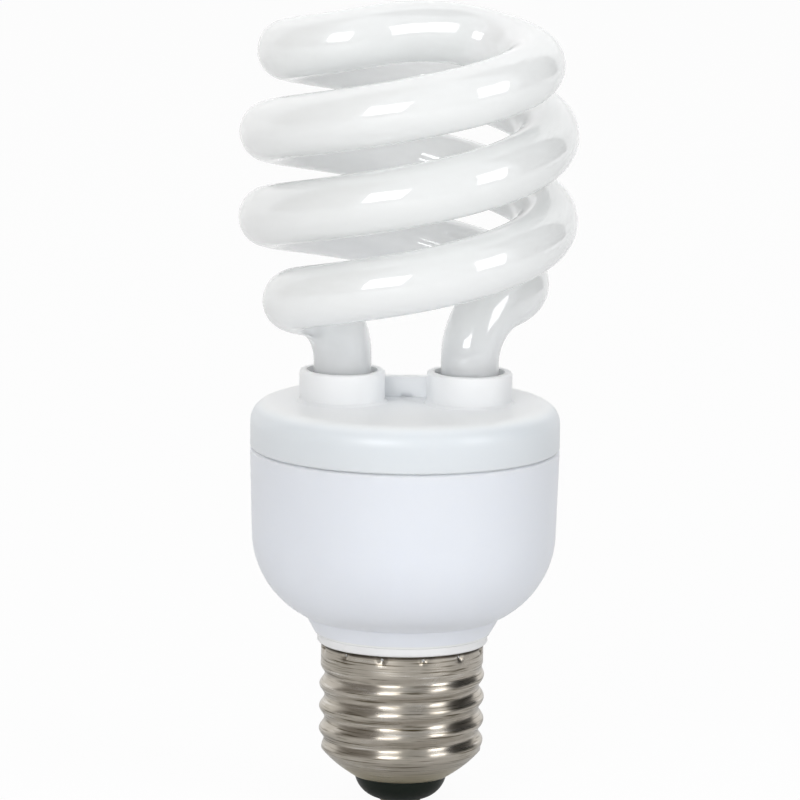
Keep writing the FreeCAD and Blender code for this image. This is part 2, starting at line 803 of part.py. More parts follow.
def filament_lead(x, y):
    """A straight lead from the foot of the pinch seal to the side of its post."""
    foot = leg_bottom_z - seal_length - pinch_length
    start_y = math.copysign(pinch_width / 4, y)
    start = V(math.copysign(leg_offset, x), start_y, foot - filament_lead_radius)
    level = board_z + board_thickness + post_height / 2
    reach = post_side / 2 + filament_lead_radius
    end = V(x - math.copysign(reach, x), y, level)
    return Part.makeCylinder(filament_lead_radius, (end - start).Length, start, end - start)


def live_lead():
    """From the board slantwise into the neck, then down the axis into the contact's eyelet."""
    x, y = spot(live_pin)
    neck = V(0, 0, thread_top_z + spigot_step)
    start = V(x, y, board_z - cable_core_radius)
    return wire([start, neck, V(0, 0, solder_recess)], cable_core_radius, cable_bend_radius)


def neutral_lead():
    """From the board through the neck to the inside of the screw shell's foot."""
    x, y = spot(neutral_pin)
    middle = (spigot_radius - spigot_wall) * 0.5
    edge = math.sqrt(0.5) * (thread_root_radius - shell_wall - cable_core_radius - seat_gap)
    foot = thread_bottom_z + cable_core_radius
    return wire(
        [V(x, y, board_z), V(x, y, board_z - cable_drop), V(middle, -middle, thread_top_z),
         V(edge, -edge, foot)], cable_core_radius, cable_bend_radius)


def build():
    """Every node by name."""
    nodes = {
        "spiral_tube": spiral_tube(),
        "tube_cement_left": tube_cement(-1),
        "tube_cement_right": tube_cement(1),
        "tube_cover": tube_cover(),
        "ballast_housing": ballast_housing(),
        "screw_shell": screw_shell(),
        "base_insulator": base_insulator(),
        "centre_contact": centre_contact(),
        "contact_solder": contact_solder(),
        "circuit_board": circuit_board(),
        "bulk_capacitor": bulk_capacitor(),
        "choke_core_front": choke_core(-1),
        "choke_core_rear": choke_core(1),
        "choke_bobbin": choke_bobbin(),
        "choke_winding": choke_winding(),
        "drive_core": drive_core(),
        "drive_winding": drive_winding(),
        "filter_core": filter_core(),
        "filter_winding": filter_winding(),
        "trigger_diac": axial_part(diac_place, *diac_body),
        "fusible_resistor": axial_part(fuse_place, fuse_body_radius, fuse_body_length),
        "fuse_sleeve": fuse_sleeve(),
        "live_lead": live_lead(),
        "neutral_lead": neutral_lead(),
    }
    for i, place in enumerate(diode_places, 1):
        nodes[f"rectifier_diode_{i}"] = axial_part(place, *diode_body)
    for name, place in transistor_places.items():
        nodes[name] = transistor(place)
    for name, place in film_places.items():
        nodes[name] = film_capacitor(place, *film_bodies[name])
    for name, place in resistor_places.items():
        nodes[name] = axial_part(place, *resistor_body)
    for i, (x, y) in enumerate(post_places(), 1):
        nodes[f"wire_post_{i}"] = wire_post(x, y)
        nodes[f"filament_lead_{i}"] = filament_lead(x, y)
    return nodes


os.makedirs("parts", exist_ok=True)
for name, shape in build().items():
    shape.exportStep(f"parts/{name}.step")
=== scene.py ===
import math

import bmesh
import bpy
from mathutils import Matrix, Vector, noise


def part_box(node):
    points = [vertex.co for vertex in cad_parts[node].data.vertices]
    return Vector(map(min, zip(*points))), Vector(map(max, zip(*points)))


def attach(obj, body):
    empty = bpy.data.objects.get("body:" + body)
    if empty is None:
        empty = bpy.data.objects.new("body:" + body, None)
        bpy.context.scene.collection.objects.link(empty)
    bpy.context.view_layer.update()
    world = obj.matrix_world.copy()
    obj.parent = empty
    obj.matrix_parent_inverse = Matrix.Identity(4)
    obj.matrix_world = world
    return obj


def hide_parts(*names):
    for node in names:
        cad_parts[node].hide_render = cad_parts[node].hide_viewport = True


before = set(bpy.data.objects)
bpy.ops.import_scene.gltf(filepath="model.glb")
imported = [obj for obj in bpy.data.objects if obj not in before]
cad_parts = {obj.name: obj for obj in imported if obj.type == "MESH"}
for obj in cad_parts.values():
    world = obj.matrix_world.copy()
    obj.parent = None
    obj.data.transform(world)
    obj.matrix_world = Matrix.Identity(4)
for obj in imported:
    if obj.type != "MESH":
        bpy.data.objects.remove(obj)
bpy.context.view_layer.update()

# The view: a long lens a little above the lamp, as the photograph was taken.
# The lamp leans a hair to the right in it, and its axis stands right of the middle.
MM = 0.001
camera_distance = 1200 * MM
camera_rise = math.radians(10.0)
camera_swing = math.radians(1.7)
camera_roll = math.radians(0.8)
camera_aim_height = 65 * MM
pixels_per_mm = 6.30
image_pixels = 800
axis_pixels_right = 5.6
sensor_width = 36.0


def new_object(name, data):
    """A new object in the scene."""
    thing = bpy.data.objects.new(name, data)
    bpy.context.scene.collection.objects.link(thing)
    return thing


def place_camera():
    back = Vector((math.sin(camera_swing) * math.cos(camera_rise),
                   -math.cos(camera_swing) * math.cos(camera_rise), math.sin(camera_rise)))
    right = Vector((math.cos(camera_swing), math.sin(camera_swing), 0))
    up = back.cross(right)
    tilted_right = right * math.cos(camera_roll) + up * math.sin(camera_roll)
    tilted_up = up * math.cos(camera_roll) - right * math.sin(camera_roll)
    aim = Vector((0, 0, camera_aim_height)) - right * (axis_pixels_right / pixels_per_mm * MM)
    data = bpy.data.cameras.new("photo_camera")
    data.sensor_width = sensor_width
    focal_pixels = pixels_per_mm * camera_distance / MM
    data.lens = focal_pixels * sensor_width / image_pixels
    data.clip_end = 50
    camera = new_object("photo_camera", data)
    basis = Matrix((tilted_right, tilted_up, back)).transposed().to_4x4()
    camera.matrix_world = Matrix.Translation(aim + back * camera_distance) @ basis
    bpy.context.scene.camera = camera


place_camera()
bpy.context.scene.view_settings.view_transform = "Standard"

# The studio: two softboxes, one a little left of the camera and one well to its right, stand a little above
# the lamp, and their shapes show in the glass. Two wide ones light its back and its top, the top one unseen.
softbox_distance = 950 * MM
softbox_aim_height = 75 * MM
softboxes = [
    # name, degrees right of the camera, degrees up, width, height, watts
    ("key_softbox", -20, 21, 0.455, 0.48, 3.35),
    ("side_softbox", 55, 21, 0.36, 0.51, 2.0),
    ("back_softbox", 180, 45, 1.5, 1.0, 0.8),
    ("top_softbox", 0, 86, 1.0, 1.0, 1.7),
]


def place_softbox(name, turn, rise, width, height, watts):
    data = bpy.data.lights.new(name, "AREA")
    data.shape = "RECTANGLE"
    data.size = width
    data.size_y = height
    data.energy = watts
    light = new_object(name, data)
    light.visible_camera = False
    light.visible_glossy = name != "top_softbox"
    swing = math.radians(turn) + camera_swing
    lift = math.radians(rise)
    away = Vector((math.sin(swing) * math.cos(lift), -math.cos(swing) * math.cos(lift), math.sin(lift)))
    light.location = Vector((0, 0, softbox_aim_height)) + away * softbox_distance
    light.rotation_euler = away.to_track_quat("Z", "Y").to_euler()


for values in softboxes:
    place_softbox(*values)

# The room: grey in front, where the camera stands, with a black flag at the lamp's right and a grey one at
# its left, and pale behind it. The camera sees plain white, and so do reflections of what lies behind.
room_front = (0.53, 0.54, 0.55, 1)
room_back = (0.90, 0.91, 0.92, 1)
back_begins = -0.4
back_full = 0.7
flags = [
    # colour, degrees right of the camera, and how many degrees off that its edge begins and is full
    ((0.03, 0.03, 0.03, 1), 104, 30, 24),
    ((0.27, 0.255, 0.24, 1), -76, 40, 27),
]


def add_math(nodes, operation, kind="ShaderNodeMath"):
    """A math node, set to its operation."""
    node = nodes.new(kind)
    node.operation = operation
    return node


def level_aim(tree, vector):
    """A vector's compass direction: one long and level."""
    level = add_math(tree.nodes, "MULTIPLY", "ShaderNodeVectorMath")
    level.inputs[1].default_value = (1, 1, 0)
    aim = add_math(tree.nodes, "NORMALIZE", "ShaderNodeVectorMath")
    tree.links.new(vector, level.inputs[0])
    tree.links.new(level.outputs[0], aim.inputs[0])
    return aim.outputs[0]


def background_rays(tree, behind):
    """One for camera rays, rays through glass, and mirror rays that go to what lies behind the lamp."""
    rays = tree.nodes.new("ShaderNodeLightPath")
    mirrored = add_math(tree.nodes, "MULTIPLY")
    straight = add_math(tree.nodes, "MAXIMUM")
    seen = add_math(tree.nodes, "MAXIMUM")
    tree.links.new(rays.outputs["Is Glossy Ray"], mirrored.inputs[0])
    tree.links.new(behind, mirrored.inputs[1])
    tree.links.new(rays.outputs["Is Camera Ray"], straight.inputs[0])
    tree.links.new(rays.outputs["Is Transmission Ray"], straight.inputs[1])
    tree.links.new(straight.outputs[0], seen.inputs[0])
    tree.links.new(mirrored.outputs[0], seen.inputs[1])
    return seen.outputs[0]


def room_light():
    world = bpy.data.worlds.new("studio")
    bpy.context.scene.world = world
    world.use_nodes = True
    tree = world.node_tree
    nodes = tree.nodes
    links = tree.links
    nodes.clear()
    place = nodes.new("ShaderNodeTexCoord")
    split = nodes.new("ShaderNodeSeparateXYZ")
    aim = level_aim(tree, place.outputs["Generated"])
    behind = nodes.new("ShaderNodeMapRange")
    behind.inputs["From Min"].default_value = back_begins
    behind.inputs["From Max"].default_value = back_full
    walls = nodes.new("ShaderNodeMix")
    walls.data_type = "RGBA"
    walls.inputs["A"].default_value = room_front
    walls.inputs["B"].default_value = room_back
    room = nodes.new("ShaderNodeBackground")
    white = nodes.new("ShaderNodeBackground")
    white.inputs["Color"].default_value = (1, 1, 1, 1)
    mix = nodes.new("ShaderNodeMixShader")
    out = nodes.new("ShaderNodeOutputWorld")
    links.new(place.outputs["Generated"], split.inputs[0])
    links.new(split.outputs["Y"], behind.inputs["Value"])
    links.new(behind.outputs["Result"], walls.inputs["Factor"])
    tone = walls.outputs["Result"]
    open_share = behind.outputs["Result"]
    for colour, turn, edge, full in flags:
        swing = math.radians(turn) + camera_swing
        towards = add_math(nodes, "DOT_PRODUCT", "ShaderNodeVectorMath")
        towards.inputs[1].default_value = (math.sin(swing), -math.cos(swing), 0)
        cover_share = nodes.new("ShaderNodeMapRange")
        cover_share.interpolation_type = "SMOOTHSTEP"
        cover_share.inputs["From Min"].default_value = math.cos(math.radians(edge))
        cover_share.inputs["From Max"].default_value = math.cos(math.radians(full))
        flagged = nodes.new("ShaderNodeMix")
        flagged.data_type = "RGBA"
        flagged.inputs["B"].default_value = colour
        left_open = add_math(nodes, "SUBTRACT")
        left_open.use_clamp = True
        links.new(aim, towards.inputs[0])
        links.new(towards.outputs["Value"], cover_share.inputs["Value"])
        links.new(cover_share.outputs["Result"], flagged.inputs["Factor"])
        links.new(tone, flagged.inputs["A"])
        links.new(open_share, left_open.inputs[0])
        links.new(cover_share.outputs["Result"], left_open.inputs[1])
        tone = flagged.outputs["Result"]
        open_share = left_open.outputs[0]
    links.new(tone, room.inputs["Color"])
    links.new(background_rays(tree, open_share), mix.inputs["Fac"])
    links.new(room.outputs[0], mix.inputs[1])
    links.new(white.outputs[0], mix.inputs[2])
    links.new(mix.outputs[0], out.inputs[0])


room_light()

# The floor: a wide pale sheet under the lamp's contact. It looks white to the camera and keeps a soft
# shadow, because only a share of what the camera sees of it is its own glow.
floor_half = 6.0
floor_gap = 0.05 * MM
floor_white = 0.80
floor_glow = 0.95
floor_glow_full = 0.5  # metres behind the lamp


def place_floor():
    mesh = bpy.data.meshes.new("studio_floor")
    corners = [(x * floor_half, y * floor_half, -floor_gap) for x, y in ((-1, -1), (1, -1), (1, 1), (-1, 1))]
    mesh.from_pydata(corners, [], [(0, 1, 2, 3)])
    floor = new_object("studio_floor", mesh)
    material = bpy.data.materials.new("floor_paper")
    material.use_nodes = True
    tree = material.node_tree
    paper = tree.nodes["Principled BSDF"]
    paper.inputs["Base Color"].default_value = (floor_white, floor_white, floor_white, 1)
    paper.inputs["Roughness"].default_value = 0.9
    paper.inputs["Specular IOR Level"].default_value = 0.0
    glow = tree.nodes.new("ShaderNodeEmission")
    place = tree.nodes.new("ShaderNodeTexCoord")
    split = tree.nodes.new("ShaderNodeSeparateXYZ")
    behind = tree.nodes.new("ShaderNodeMapRange")
    behind.inputs["From Min"].default_value = 0.0
    behind.inputs["From Max"].default_value = floor_glow_full
    share = add_math(tree.nodes, "MULTIPLY")
    share.inputs[1].default_value = floor_glow
    mix = tree.nodes.new("ShaderNodeMixShader")
    tree.links.new(place.outputs["Object"], split.inputs[0])
    tree.links.new(split.outputs["Y"], behind.inputs["Value"])
    tree.links.new(background_rays(tree, behind.outputs["Result"]), share.inputs[0])
    tree.links.new(share.outputs[0], mix.inputs["Fac"])
    tree.links.new(paper.outputs[0], mix.inputs[1])
    tree.links.new(glow.outputs[0], mix.inputs[2])
    tree.links.new(mix.outputs[0], tree.nodes["Material Output"].inputs["Surface"])
    mesh.materials.append(material)


place_floor()

# The discharge tube: one piece of soft glass, coated white inside, drawn and wound hot over a mandrel
# as a double helix whose strands meet in an S across the top. Its clear skin shines over the white.
tube_radius = 4.85 * MM
leg_radius = 4.62 * MM
leg_offset = 10.1 * MM
helix_radius = 22.0 * MM
helix_pitch = 27.2 * MM
helix_base = 80.4 * MM
helix_start = math.radians(46)
helix_turn = math.radians(457)
bridge_radius = 10.4 * MM
bridge_rise_share = 0.70
leg_top = 71.6 * MM
leg_bottom = 60.5 * MM
seal_length = 3.5 * MM
pinch_length = 4.0 * MM
pinch_half_width = 4.2 * MM
pinch_half_thickness = 1.3 * MM
glass_sides = 56
glass_step = 1.2 * MM
helix_arcs = 7
bridge_arcs = 3
leg_swell_length = 7 * MM
drawn_unevenness = 0.004
drawn_scale = 60
closing_rings = 8
closing_quickness = 1.9
straight = 1e-9
same_place = 1e-7
helix_slope = helix_pitch / (2 * math.pi * helix_radius)
UP = Vector((0, 0, 1))


def helix_station(turn):
    out = Vector((math.cos(turn), math.sin(turn), 0))
    along = Vector((-math.sin(turn), math.cos(turn), helix_slope)).normalized()
    return out * helix_radius + UP * (helix_base + helix_pitch * turn / (2 * math.pi)), along


def bridge_stations():
    end_turn = helix_start + helix_turn
    start = helix_station(end_turn)[0]
    hub = helix_radius - bridge_radius
    sweep = math.acos(-bridge_radius / hub)
    turn_length = bridge_radius * sweep
    total = turn_length + math.sqrt(hub ** 2 - bridge_radius ** 2)
    centre = Vector((math.cos(end_turn), math.sin(end_turn), 0)) * hub
    stations = []
    for i in range(1, bridge_arcs + 2):
        angle = end_turn + sweep * min(i, bridge_arcs) / bridge_arcs
        out = Vector((math.cos(angle), math.sin(angle), 0))
        flat = centre + out * bridge_radius
        share = turn_length * i / bridge_arcs / total
        if i > bridge_arcs:
            flat = Vector((0, 0, 0))
            share = 1.0
        past = max(0.0, share - bridge_rise_share)
        level = 1 - bridge_rise_share
        climb = start.z + helix_slope * total * (share - past ** 2 / (2 * level))
        slope = helix_slope * (1 - past / level)
        stations.append((flat + UP * climb, (UP.cross(out) + UP * slope).normalized()))
    return stations


def tube_stations():
    stations = [(Vector((leg_offset, 0, leg_bottom)), UP), (Vector((leg_offset, 0, leg_top)), UP)]
    stations += [helix_station(helix_start + helix_turn * i / helix_arcs) for i in range(helix_arcs + 1)]
    stations += bridge_stations()
    half_turn = Matrix.Rotation(math.pi, 3, "Z")
    mirrored = [(half_turn @ place, -(half_turn @ aim)) for place, aim in stations[:-1]]
    return stations + mirrored[::-1]


def arc_points(start, aim, end):
    """Points along the arc that leaves start along aim and reaches end, and the direction there."""
    chord = end - start
    axis = aim.cross(chord)
    if axis.length < straight:
        count = max(1, round(chord.length / glass_step))
        return [start + chord * (i / count) for i in range(1, count + 1)], aim
    axis.normalize()
    inward = axis.cross(aim)
    radius = chord.dot(chord) / (2 * chord.dot(inward))
    angle = 2 * aim.angle(chord)
    centre = start + inward * radius
    count = max(2, round(radius * angle / glass_step))
    places = []
    for i in range(1, count + 1):
        places.append(centre + Matrix.Rotation(angle * i / count, 3, axis) @ (start - centre))
    return places, Matrix.Rotation(angle, 3, axis) @ aim


def tube_route():
    stations = tube_stations()
    route = [stations[0][0]]
    for (start, start_aim), (end, end_aim) in zip(stations, stations[1:]):
        chord = end - start
        aims = start_aim + end_aim
        spread = 2 * (1 - start_aim.dot(end_aim))
        if spread < straight:
            route += arc_points(start, start_aim, end)[0]
            continue
        along = chord.dot(aims)
        reach = (math.sqrt(along ** 2 + spread * chord.dot(chord)) - along) / spread
        joint = (start + end + (start_aim - end_aim) * reach) * 0.5
        places, aim = arc_points(start, start_aim, joint)
        route += places
        route += arc_points(joint, aim, end)[0]
    return route


def skin_over(name, rings, looped=False):
    """A closed skin over rings of points: looped to the first ring, or with a flat fan at each end."""
    sides = len(rings[0])
    last = len(rings) - 1
    faces = []
    for i in range(last + 1 if looped else last):
        after = (i + 1) % len(rings)
        for j in range(sides):
            k = (j + 1) % sides
            faces.append((i * sides + j, i * sides + k, after * sides + k, after * sides + j))
    if not looped:
        faces.append(tuple(range(sides))[::-1])
        faces.append(tuple(range(last * sides, len(rings) * sides)))
    mesh = bpy.data.meshes.new(name)
    mesh.from_pydata([point for ring in rings for point in ring], [], faces)
    bm = bmesh.new()
    bm.from_mesh(mesh)
    bmesh.ops.remove_doubles(bm, verts=bm.verts, dist=same_place)
    bmesh.ops.recalc_face_normals(bm, faces=bm.faces)
    bm.to_mesh(mesh)
    bm.free()
    return new_object(name, mesh)


def smooth(piece, sharp_degrees=40):
    """Round shading, with the edges sharper than the given angle kept crisp."""
    mesh = piece.data
    mesh.shade_smooth()
    bm = bmesh.new()
    bm.from_mesh(mesh)
    for edge in bm.edges:
        edge.smooth = len(edge.link_faces) != 2 or edge.calc_face_angle(0) < math.radians(sharp_degrees)
    bm.to_mesh(mesh)
    bm.free()


def glass_tube():
    route = tube_route()
    side = Vector((0, 1, 0))
    rings = []
    last = len(route) - 1
    for i, place in enumerate(route):
        aim = (route[min(i + 1, last)] - route[max(i - 1, 0)]).normalized()
        side = (side - aim * side.dot(aim)).normalized()
        other = aim.cross(side)
        grown = min(1, max(0, (place.z - leg_top) / leg_swell_length))
        radius = leg_radius + (tube_radius - leg_radius) * grown
        radius *= 1 + drawn_unevenness * noise.noise(place * drawn_scale)
        ring = []
        for j in range(glass_sides):
            angle = 2 * math.pi * j / glass_sides
            ring.append(place + side * (radius * math.cos(angle)) + other * (radius * math.sin(angle)))
        rings.append(ring)
    for end in (0, -1):
        first = rings[end]
        hub = sum(first, Vector()) / glass_sides
        closing = []
        for i in range(1, closing_rings + 1):
            share = i / closing_rings
            squeeze = min(1, share * closing_quickness)
            ease = squeeze * squeeze * (3 - 2 * squeeze)
            drop = -UP * ((seal_length + pinch_length) * share)
            ring = []
            for point in first:
                offset = point - hub
                x = offset.x * (1 + (pinch_half_thickness / leg_radius - 1) * ease)
                y = offset.y * (1 + (pinch_half_width / leg_radius - 1) * ease)
                ring.append(hub + drop + Vector((x, y, 0)))
            closing.append(ring)
        rings = closing[::-1] + rings if end == 0 else rings + closing
    return skin_over("glass_tube", rings)


def new_group(name, inputs, outputs):
    """A shader node group with named sockets: its tree, its input node and its output node."""
    kinds = {"colour": "NodeSocketColor", "value": "NodeSocketFloat", "vector": "NodeSocketVector"}
    group = bpy.data.node_groups.new(name, "ShaderNodeTree")
    for way, sockets in (("INPUT", inputs), ("OUTPUT", outputs)):
        for socket, kind in sockets:
            group.interface.new_socket(socket, in_out=way, socket_type=kinds[kind])
    return group, group.nodes.new("NodeGroupInput"), group.nodes.new("NodeGroupOutput")


def own_place(nodes):
    """The surface's place in the part's own frame, in metres."""
    return nodes.new("ShaderNodeTexCoord").outputs["Object"]


def cloudy_variation_group():
    """Soft cloudy drift between two colours, and a matching fine height."""
    group, start, end = new_group(
        "cloudy_variation",
        [("Colour", "colour"), ("Second Colour", "colour"), ("Scale", "value"), ("Fine Scale", "value")],
        [("Colour", "colour"), ("Cloud", "value"), ("Fine Height", "value")])
    nodes = group.nodes
    links = group.links
    place = own_place(nodes)
    cloud = nodes.new("ShaderNodeTexNoise")
    cloud.inputs["Detail"].default_value = 4
    fine = nodes.new("ShaderNodeTexNoise")
    fine.inputs["Detail"].default_value = 2
    mix = nodes.new("ShaderNodeMix")
    mix.data_type = "RGBA"
    links.new(place, cloud.inputs["Vector"])
    links.new(place, fine.inputs["Vector"])
    links.new(start.outputs["Scale"], cloud.inputs["Scale"])
    links.new(start.outputs["Fine Scale"], fine.inputs["Scale"])
    links.new(cloud.outputs["Fac"], mix.inputs["Factor"])
    links.new(start.outputs["Colour"], mix.inputs["A"])
    links.new(start.outputs["Second Colour"], mix.inputs["B"])
    links.new(mix.outputs["Result"], end.inputs["Colour"])
    links.new(cloud.outputs["Fac"], end.inputs["Cloud"])
    links.new(fine.outputs["Fac"], end.inputs["Fine Height"])
    return group


cloudy_variation = cloudy_variation_group()


def add_group(material, group, values):
    """Places a node group in a material, with its own values."""
    node = material.node_tree.nodes.new("ShaderNodeGroup")
    node.node_tree = group
    for socket, value in values.items():
        node.inputs[socket].default_value = value
    return node


def add_relief(material, height, strength, distance, over=None):
    """Fine relief from a height, over the normal of another where there is one."""
    tree = material.node_tree
    relief = tree.nodes.new("ShaderNodeBump")
    relief.inputs["Strength"].default_value = strength
    relief.inputs["Distance"].default_value = distance
    tree.links.new(height, relief.inputs["Height"])
    if over:
        tree.links.new(over, relief.inputs["Normal"])
    tree.links.new(relief.outputs["Normal"], tree.nodes["Principled BSDF"].inputs["Normal"])


least_rough = 0.85
most_rough = 1.2


def new_finish(name, colour, second, scale, fine_scale, roughness, bump,
               bump_distance=0.1 * MM, metallic=0.0):
    """A material whose colour drifts between two tones and whose skin has a fine texture."""
    material = bpy.data.materials.new(name)
    material.use_nodes = True
    tree = material.node_tree
    skin = tree.nodes["Principled BSDF"]
    vary = add_group(material, cloudy_variation, {
        "Colour": (*colour, 1), "Second Colour": (*second, 1), "Scale": scale, "Fine Scale": fine_scale})
    rough = tree.nodes.new("ShaderNodeMapRange")
    rough.inputs["To Min"].default_value = roughness * least_rough
    rough.inputs["To Max"].default_value = roughness * most_rough
    skin.inputs["Metallic"].default_value = metallic
    tree.links.new(vary.outputs["Colour"], skin.inputs["Base Color"])
    tree.links.new(vary.outputs["Cloud"], rough.inputs["Value"])
    tree.links.new(rough.outputs["Result"], skin.inputs["Roughness"])
    add_relief(material, vary.outputs["Fine Height"], bump, bump_distance)
    return material


def lay_over(material, mask, **values):
    """Where the mask is one, the finish takes other values of its colour, roughness or metallic share."""
    tree = material.node_tree
    skin = tree.nodes["Principled BSDF"]
    sockets = {"colour": "Base Color", "roughness": "Roughness", "metallic": "Metallic"}
    for key, value in values.items():
        socket = skin.inputs[sockets[key]]
        mix = tree.nodes.new("ShaderNodeMix")
        if key == "colour":
            mix.data_type = "RGBA"
            value = (*value, 1)
        if socket.is_linked:
            tree.links.new(socket.links[0].from_socket, mix.inputs["A"])
        else:
            mix.inputs["A"].default_value = socket.default_value
        mix.inputs["B"].default_value = value
        tree.links.new(mask, mix.inputs["Factor"])
        tree.links.new(mix.outputs["Result"], socket)


def coordinate(material, axis):
    """One coordinate of the surface's own place."""
    tree = material.node_tree
    split = tree.nodes.new("ShaderNodeSeparateXYZ")
    tree.links.new(own_place(tree.nodes), split.inputs[0])
    return split.outputs[axis]


def ramp_between(material, value, start, end):
    """A mask that rises from none at start to full at end."""
    ramp = material.node_tree.nodes.new("ShaderNodeMapRange")
    ramp.interpolation_type = "SMOOTHSTEP"
    ramp.inputs["From Min"].default_value = start
    ramp.inputs["From Max"].default_value = end
    material.node_tree.links.new(value, ramp.inputs["Value"])
    return ramp.outputs["Result"]


def dress(piece, material):
    piece.data.materials.clear()
    piece.data.materials.append(material)


# Painted shade: the legs and the foot of the helix turn grey towards the collars, where the helix above
# shades them.
painted_leg_shade_grey = (0.76, 0.775, 0.785)
leg_shade_top = leg_top + 14 * MM
leg_shade_full = leg_top - 2 * MM
glass_depth = 20 * MM
glass_finish = new_finish(
    "coated_glass", (0.86, 0.88, 0.87), (0.84, 0.865, 0.855),
    scale=45, fine_scale=900, roughness=0.35, bump=0.02)
glass_skin = glass_finish.node_tree.nodes["Principled BSDF"]
glass_skin.inputs["Coat Weight"].default_value = 1.0
glass_skin.inputs["Coat Roughness"].default_value = 0.012
glass_skin.inputs["Specular IOR Level"].default_value = 0.1
glass_skin.inputs["Coat IOR"].default_value = 1.9
glass_skin.inputs["Subsurface Weight"].default_value = 1.0
glass_skin.inputs["Subsurface Radius"].default_value = (1.0, 1.0, 1.0)
glass_skin.inputs["Subsurface Scale"].default_value = glass_depth
painted_inner_light = (0.955, 0.97, 0.965)
inner_begins = 0.3
inner_full = -0.4


def inward_facing(material):
    """A mask of the tube's side that faces the lamp's axis, for painted light on the inner faces that the
    front strands shade.
    """
    tree = material.node_tree
    shape = tree.nodes.new("ShaderNodeNewGeometry")
    facing = add_math(tree.nodes, "DOT_PRODUCT", "ShaderNodeVectorMath")
    tree.links.new(level_aim(tree, shape.outputs["Position"]), facing.inputs[0])
    tree.links.new(shape.outputs["Normal"], facing.inputs[1])
    return ramp_between(material, facing.outputs["Value"], inner_begins, inner_full)


# Painted light: the tube's inner faces, seen in shade through the gaps between strands, are painted whiter.
lay_over(glass_finish, inward_facing(glass_finish), colour=painted_inner_light)
glass_height = coordinate(glass_finish, "Z")
# Painted shade on the legs: full grey below their tops, fading out up the helix.
leg_shade = ramp_between(glass_finish, glass_height, leg_shade_top, leg_shade_full)
lay_over(glass_finish, leg_shade, colour=painted_leg_shade_grey)
tube = glass_tube()
smooth(tube)
dress(tube, glass_finish)
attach(tube, "root")
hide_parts("spiral_tube")

# The cement: a pale gritty ring cast between each leg and its collar, well below the collar's rim. It was
# poured as a paste, holds the glass in the cover, and hides in the shade of the gap.
cement_finish = new_finish(
    "cast_cement", (0.62, 0.61, 0.57), (0.5, 0.49, 0.45),
    scale=260, fine_scale=1800, roughness=0.85, bump=0.35, bump_distance=0.2 * MM)
for name in ("tube_cement_left", "tube_cement_right"):
    dress(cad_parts[name], cement_finish)

# The cover: one moulding in white flame-resistant plastic, with a collar for each leg and a web between
# them. It snaps into the housing. Its skin is fine satin, with painted shade and grime where the collars
# rise.
crevice_reach = 2.2 * MM
plastic_white = (0.785, 0.815, 0.84)
plastic_shade = (0.76, 0.795, 0.825)
painted_top_light = (0.915, 0.945, 0.985)
cover_top = 64.8 * MM
painted_light_rise = 1.5 * MM
shade_and_grime_colour = (0.42, 0.43, 0.43)


def crevice_shade_and_grime_group():
    """Painted shade and grime in crevices: darker where the surface is closed in, broken up by a blotchy
    noise.
    """
    group, start, end = new_group(
        "crevice_shade_and_grime", [("Reach", "value"), ("Blotch Scale", "value"), ("Amount", "value")],
        [("Mask", "value")])
    nodes = group.nodes
    links = group.links
    shelter = nodes.new("ShaderNodeAmbientOcclusion")
    shelter.samples = 6
    closed = add_math(nodes, "SUBTRACT")
    closed.inputs[0].default_value = 1.0
    blotch = nodes.new("ShaderNodeTexNoise")
    blotch.inputs["Detail"].default_value = 5
    sparse = nodes.new("ShaderNodeMapRange")
    sparse.inputs["From Min"].default_value = 0.35
    sparse.inputs["From Max"].default_value = 0.65
    patchy = add_math(nodes, "MULTIPLY")
    amount = add_math(nodes, "MULTIPLY")
    amount.use_clamp = True
    links.new(start.outputs["Reach"], shelter.inputs["Distance"])
    links.new(shelter.outputs["AO"], closed.inputs[1])
    links.new(own_place(nodes), blotch.inputs["Vector"])
    links.new(start.outputs["Blotch Scale"], blotch.inputs["Scale"])
    links.new(blotch.outputs["Fac"], sparse.inputs["Value"])
    links.new(closed.outputs[0], patchy.inputs[0])
    links.new(sparse.outputs["Result"], patchy.inputs[1])
    links.new(patchy.outputs[0], amount.inputs[0])
    links.new(start.outputs["Amount"], amount.inputs[1])
    links.new(amount.outputs[0], end.inputs["Mask"])
    return group


crevice_shade_and_grime = crevice_shade_and_grime_group()
crisp_angle = math.radians(32)


def dress_round(node, material):
    """Dresses a carried-over solid and shades it round. Only its shading flags are set."""
    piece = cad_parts[node]
    dress(piece, material)
    piece.data.shade_smooth()
    piece.data.set_sharp_from_angle(angle=crisp_angle)


plastic_depth = 1.5 * MM


def moulded_plastic(name, colour, second, shade_and_grime_amount):
    material = new_finish(
        name, colour, second, scale=38, fine_scale=1600, roughness=0.30, bump=0.10, bump_distance=0.08 * MM)
    skin = material.node_tree.nodes["Principled BSDF"]
    skin.inputs["Subsurface Weight"].default_value = 1.0
    skin.inputs["Subsurface Radius"].default_value = (1.0, 1.0, 1.0)
    skin.inputs["Subsurface Scale"].default_value = plastic_depth
    # Painted shade and grime: the moulding is darker in its crevices, where it is closed in.
    shade_and_dirt = add_group(material, crevice_shade_and_grime, {
        "Reach": crevice_reach, "Blotch Scale": 220, "Amount": shade_and_grime_amount})
    lay_over(material, shade_and_dirt.outputs["Mask"], colour=shade_and_grime_colour, roughness=0.7)
    return material


cover_finish = moulded_plastic("cover_plastic", plastic_white, plastic_shade, 0.12)
# Painted light: the cover turns whiter over its top face and collars, which the glass above shades.
painted_light_mask = ramp_between(cover_finish, coordinate(cover_finish, "Z"), cover_top - painted_light_rise, cover_top)
lay_over(cover_finish, painted_light_mask, colour=painted_top_light)
dress_round("tube_cover", cover_finish)

